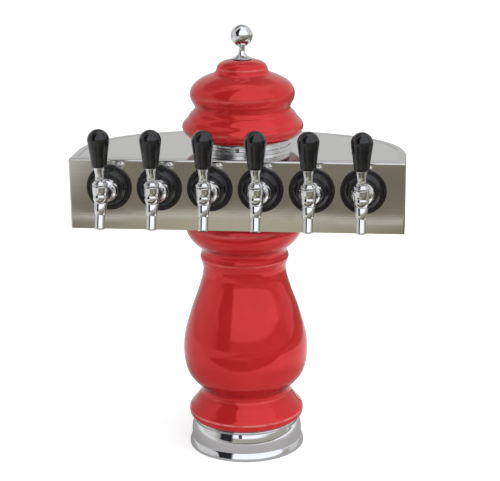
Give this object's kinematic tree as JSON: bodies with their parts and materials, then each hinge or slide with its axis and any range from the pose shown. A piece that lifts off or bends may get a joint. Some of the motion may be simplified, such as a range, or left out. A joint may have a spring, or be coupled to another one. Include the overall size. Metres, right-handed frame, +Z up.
{
  "type": "beer tap tower",
  "caption": "Glazed ceramic column and dome on a chrome base, with a D-shaped stainless header carrying a row of chrome faucets with black handles.",
  "frame": {"origin": "centre of the base's underside, on the column axis", "axes": "+Z up along the column, +X to the right along the header as seen from the faucets' side, faucets face -Y"},
  "size_m": [0.504, 0.3121, 0.6777],
  "materials": {
    "chrome": "polished chrome plate",
    "chrome_nut": "polished chrome plate on brass",
    "chrome_faucet": "polished chrome plate on brass",
    "chrome_bonnet": "polished chrome plate on brass",
    "chrome_ferrule": "polished chrome plate",
    "chrome_lever": "polished chrome plate",
    "chrome_ball": "mirror chrome plate",
    "cast_iron": "as cast, machined faces",
    "steel_screws": "plain steel",
    "zinc_steel": "zinc plated",
    "core_steel": "mill finish tube",
    "stainless": "polished stainless sheet, fine grain",
    "stainless_lid": "polished stainless sheet, fine grain",
    "stainless_machined": "turned stainless",
    "clamp_steel": "stainless strip",
    "aluminium": "milled",
    "brass_nut": "plain brass",
    "red_glaze": "glossy red glaze on vitreous ceramic",
    "foam": "rigid polyurethane foam",
    "nylon": "natural nylon",
    "gasket_rubber": "soft black rubber",
    "black_flange": "satin black moulding",
    "black_knob": "glossy black moulding",
    "vinyl_hose": "clear vinyl hose",
    "glycol_pipe": "white polyethylene pipe"
  },
  "bodies": {
    "tower": {"base_ring": "chrome", "base_flange": "cast_iron", "set_screws": "steel_screws", "ceramic_gaskets": "gasket_rubber", "column_ceramic": "red_glaze", "column_foam": "foam", "core_tube": "core_steel", "header_bolts": "zinc_steel", "header_shell": "stainless", "header_lid": "stainless_lid", "cold_block": "aluminium", "shanks": "stainless_machined", "shank_flanges": "black_flange", "shank_nuts": "brass_nut", "coupling_nuts": "chrome_nut", "faucet_bodies": "chrome_faucet", "faucet_bonnets": "chrome_bonnet", "ball_washers": "nylon", "tailpieces": "stainless_machined", "tail_nuts": "chrome_nut", "hose_clamps": "clamp_steel", "beer_lines": "vinyl_hose", "glycol_lines": "glycol_pipe", "dome_spigot": "aluminium", "spigot_screws": "steel_screws", "dome_collar": "chrome", "dome_ceramic": "red_glaze", "tie_rod": "zinc_steel", "tie_rod_nuts": "zinc_steel", "finial": "chrome_ball"},
    "lever_1": {"faucet_1_handle": "black_knob", "faucet_1_ferrule": "chrome_ferrule", "faucet_1_lever": "chrome_lever"},
    "plunger_1": {"faucet_1_plunger": "stainless_machined", "faucet_1_seat_washer": "gasket_rubber"},
    "lever_2": {"faucet_2_handle": "black_knob", "faucet_2_ferrule": "chrome_ferrule", "faucet_2_lever": "chrome_lever"},
    "plunger_2": {"faucet_2_plunger": "stainless_machined", "faucet_2_seat_washer": "gasket_rubber"},
    "lever_3": {"faucet_3_handle": "black_knob", "faucet_3_ferrule": "chrome_ferrule", "faucet_3_lever": "chrome_lever"},
    "plunger_3": {"faucet_3_plunger": "stainless_machined", "faucet_3_seat_washer": "gasket_rubber"},
    "lever_4": {"faucet_4_handle": "black_knob", "faucet_4_ferrule": "chrome_ferrule", "faucet_4_lever": "chrome_lever"},
    "plunger_4": {"faucet_4_plunger": "stainless_machined", "faucet_4_seat_washer": "gasket_rubber"},
    "lever_5": {"faucet_5_handle": "black_knob", "faucet_5_ferrule": "chrome_ferrule", "faucet_5_lever": "chrome_lever"},
    "plunger_5": {"faucet_5_plunger": "stainless_machined", "faucet_5_seat_washer": "gasket_rubber"},
    "lever_6": {"faucet_6_handle": "black_knob", "faucet_6_ferrule": "chrome_ferrule", "faucet_6_lever": "chrome_lever"},
    "plunger_6": {"faucet_6_plunger": "stainless_machined", "faucet_6_seat_washer": "gasket_rubber"}
  },
  "joints": [
    {"name": "faucet_1_lever_tilt", "type": "hinge", "parent": "tower", "child": "lever_1", "pos_m": [-0.1905, -0.168, 0.465], "axis": [1, 0, 0], "range_deg": [0, 30]},
    {"name": "faucet_1_plunger_slide", "type": "slide", "parent": "tower", "child": "plunger_1", "axis": [0, 1, 0], "range_m": [0, 0.009]},
    {"name": "faucet_2_lever_tilt", "type": "hinge", "parent": "tower", "child": "lever_2", "pos_m": [-0.1143, -0.168, 0.465], "axis": [1, 0, 0], "range_deg": [0, 30]},
    {"name": "faucet_2_plunger_slide", "type": "slide", "parent": "tower", "child": "plunger_2", "axis": [0, 1, 0], "range_m": [0, 0.009]},
    {"name": "faucet_3_lever_tilt", "type": "hinge", "parent": "tower", "child": "lever_3", "pos_m": [-0.0381, -0.168, 0.465], "axis": [1, 0, 0], "range_deg": [0, 30]},
    {"name": "faucet_3_plunger_slide", "type": "slide", "parent": "tower", "child": "plunger_3", "axis": [0, 1, 0], "range_m": [0, 0.009]},
    {"name": "faucet_4_lever_tilt", "type": "hinge", "parent": "tower", "child": "lever_4", "pos_m": [0.0381, -0.168, 0.465], "axis": [1, 0, 0], "range_deg": [0, 30]},
    {"name": "faucet_4_plunger_slide", "type": "slide", "parent": "tower", "child": "plunger_4", "axis": [0, 1, 0], "range_m": [0, 0.009]},
    {"name": "faucet_5_lever_tilt", "type": "hinge", "parent": "tower", "child": "lever_5", "pos_m": [0.1143, -0.168, 0.465], "axis": [1, 0, 0], "range_deg": [0, 30]},
    {"name": "faucet_5_plunger_slide", "type": "slide", "parent": "tower", "child": "plunger_5", "axis": [0, 1, 0], "range_m": [0, 0.009]},
    {"name": "faucet_6_lever_tilt", "type": "hinge", "parent": "tower", "child": "lever_6", "pos_m": [0.1905, -0.168, 0.465], "axis": [1, 0, 0], "range_deg": [0, 30]},
    {"name": "faucet_6_plunger_slide", "type": "slide", "parent": "tower", "child": "plunger_6", "axis": [0, 1, 0], "range_m": [0, 0.009]}
  ],
  "couplings": [
    {"joint": "faucet_1_plunger_slide", "follows": "faucet_1_lever_tilt", "m_per_rad": 0.0171},
    {"joint": "faucet_2_plunger_slide", "follows": "faucet_2_lever_tilt", "m_per_rad": 0.0171},
    {"joint": "faucet_3_plunger_slide", "follows": "faucet_3_lever_tilt", "m_per_rad": 0.0171},
    {"joint": "faucet_4_plunger_slide", "follows": "faucet_4_lever_tilt", "m_per_rad": 0.0171},
    {"joint": "faucet_5_plunger_slide", "follows": "faucet_5_lever_tilt", "m_per_rad": 0.0171},
    {"joint": "faucet_6_plunger_slide", "follows": "faucet_6_lever_tilt", "m_per_rad": 0.0171}
  ]
}
